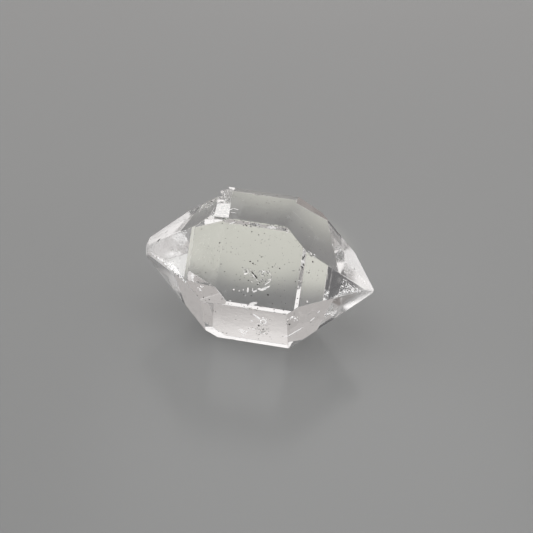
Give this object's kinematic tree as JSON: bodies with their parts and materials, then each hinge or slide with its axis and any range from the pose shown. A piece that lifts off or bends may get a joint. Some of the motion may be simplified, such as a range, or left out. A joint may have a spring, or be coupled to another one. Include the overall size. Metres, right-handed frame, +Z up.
{
  "type": "herkimer diamond",
  "caption": "Clear quartz crystal with a natural point at both ends and flat faces all round, lying on one long flat face.",
  "frame": {"origin": "middle of the crystal's box in X and Y, at the level of the flat face that it lies on", "axes": "+X along the crystal from the worn left point to the sharp right point, +Z up, -Y towards the viewer"},
  "size_m": [0.0196, 0.0124, 0.0109],
  "materials": {
    "quartz": "clear natural crystal faces, glassy, with fine chips along the edges"
  },
  "bodies": {
    "root": {"quartz_crystal": "quartz"}
  },
  "joints": []
}
